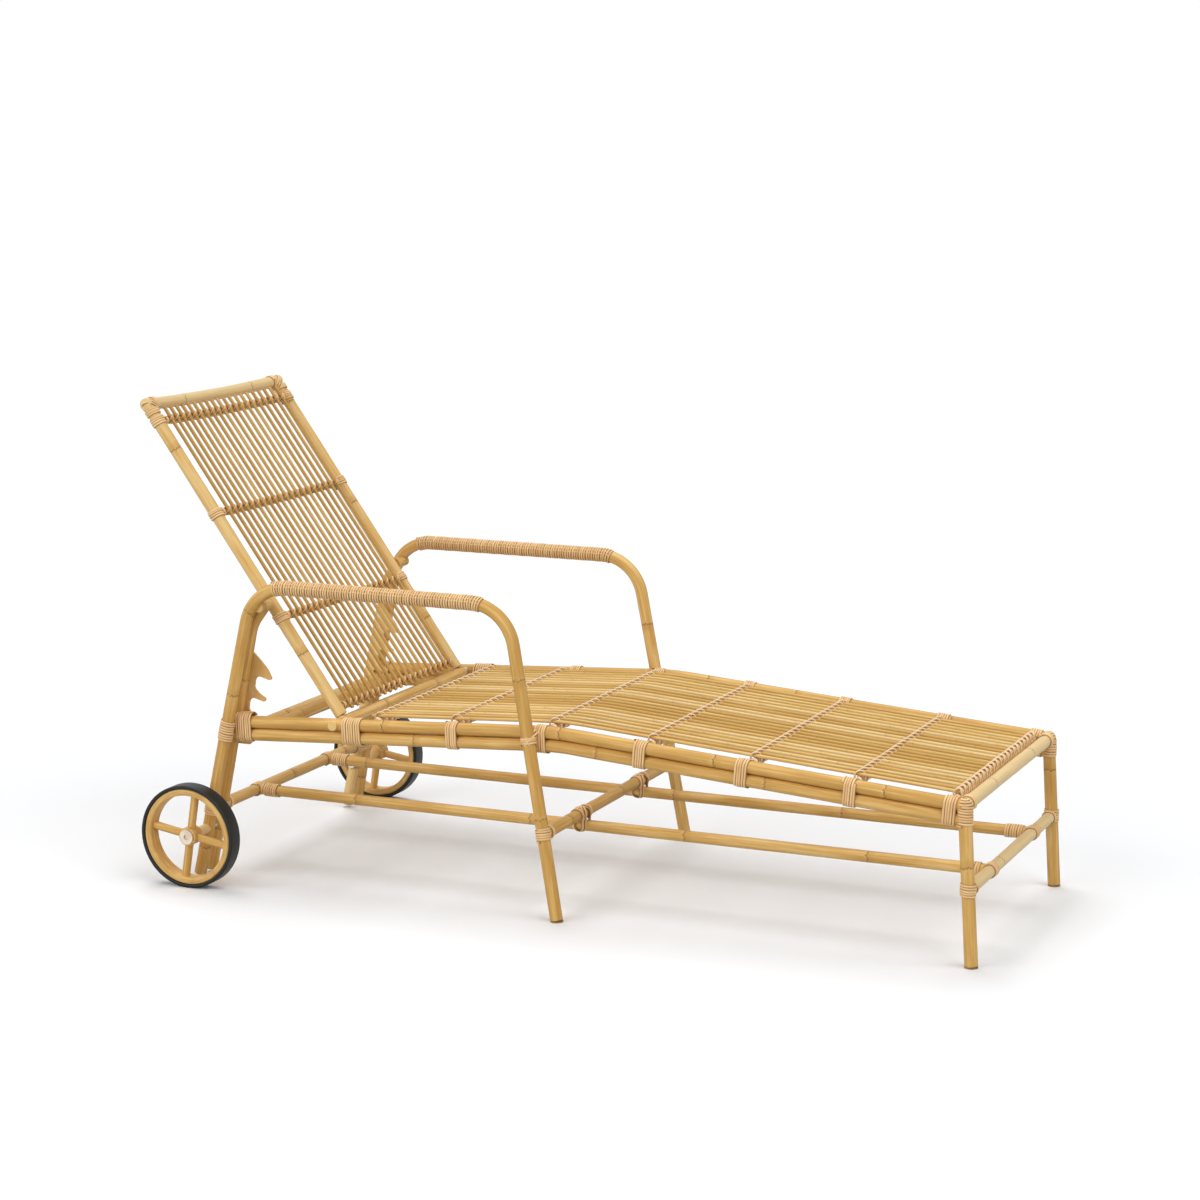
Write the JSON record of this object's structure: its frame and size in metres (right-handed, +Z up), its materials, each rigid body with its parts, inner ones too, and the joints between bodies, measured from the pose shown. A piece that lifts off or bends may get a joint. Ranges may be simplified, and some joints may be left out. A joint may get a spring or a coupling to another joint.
{
  "type": "sun lounger",
  "caption": "Cane sun lounger: slatted seat bent at the hip, hinged slatted back, bent tube armrests that run down as legs, notched back supports, stretchers and two spoked rear wheels",
  "frame": {"origin": "middle of the whole part's box, on the floor", "axes": "X along the length with the foot end at +X and the backrest at -X, Y across with the right side at -Y, Z up"},
  "size_m": [1.9764, 0.9224, 1.0662],
  "materials": {
    "cane": "honey cane with darker node rings, satin lacquer",
    "slat": "thin honey cane, satin lacquer",
    "plate": "flat board stained to match the cane",
    "wheel": "honey cane, satin",
    "binding": "split cane peel, pale, satin",
    "tyre": "black rubber",
    "pad": "black",
    "steel": "plain",
    "cap": "satin"
  },
  "bodies": {
    "frame": {"right_upper_rail": "cane", "left_upper_rail": "cane", "right_lower_rail": "cane", "left_lower_rail": "cane", "foot_crossbar": "cane", "right_front_leg": "cane", "left_front_leg": "cane", "right_arm_frame": "cane", "left_arm_frame": "cane", "right_rear_strut": "cane", "left_rear_strut": "cane", "right_strut_stub": "cane", "left_strut_stub": "cane", "right_notch_plate": "plate", "left_notch_plate": "plate", "plate_screws": "steel", "rear_cross_rail": "cane", "front_stretcher": "cane", "middle_stretcher": "cane", "rear_stretcher": "cane", "right_long_stretcher": "cane", "left_long_stretcher": "cane", "seat_rods": "cane", "seat_slats": "slat", "seat_lashings": "binding", "right_arm_wrap": "binding", "left_arm_wrap": "binding", "rail_bindings": "binding", "right_hinge_binding": "binding", "left_hinge_binding": "binding", "right_rear_binding": "binding", "left_rear_binding": "binding", "corner_bindings": "binding", "leg_bindings": "binding", "stretcher_bindings": "binding", "foot_pads": "pad", "hinge_bolts": "plate", "hinge_washers": "steel", "axles": "steel", "axle_spacers": "wheel", "axle_nuts": "steel", "right_wheel_cap": "cap", "left_wheel_cap": "cap"},
    "backrest": {"right_back_stile": "cane", "left_back_stile": "cane", "back_top_rail": "cane", "back_bottom_rail": "cane", "back_rods": "cane", "back_slats": "slat", "back_lashings": "binding", "back_wraps": "binding"},
    "right_wheel": {"right_wheel_hub": "wheel", "right_wheel_spokes": "wheel", "right_wheel_rim": "wheel", "right_tyre": "tyre"},
    "left_wheel": {"left_wheel_hub": "wheel", "left_wheel_spokes": "wheel", "left_wheel_rim": "wheel", "left_tyre": "tyre"},
    "support_bar": {"support_bar": "cane"}
  },
  "joints": [
    {"name": "back_hinge", "type": "hinge", "parent": "frame", "child": "backrest", "pos_m": [-0.47583, 0, 0.37098], "axis": [0, 1, 0], "range_deg": [-54, 12]},
    {"name": "right_wheel_spin", "type": "hinge", "parent": "frame", "child": "right_wheel", "pos_m": [-0.78337, -0.441, 0.116], "axis": [0, 1, 0], "continuous": true},
    {"name": "left_wheel_spin", "type": "hinge", "parent": "frame", "child": "left_wheel", "pos_m": [-0.78337, 0.441, 0.116], "axis": [0, 1, 0], "continuous": true},
    {"name": "bar_lift_out", "type": "slide", "parent": "frame", "child": "support_bar", "axis": [0.8192, 0, -0.5736], "range_m": [0, 0.08]}
  ]
}
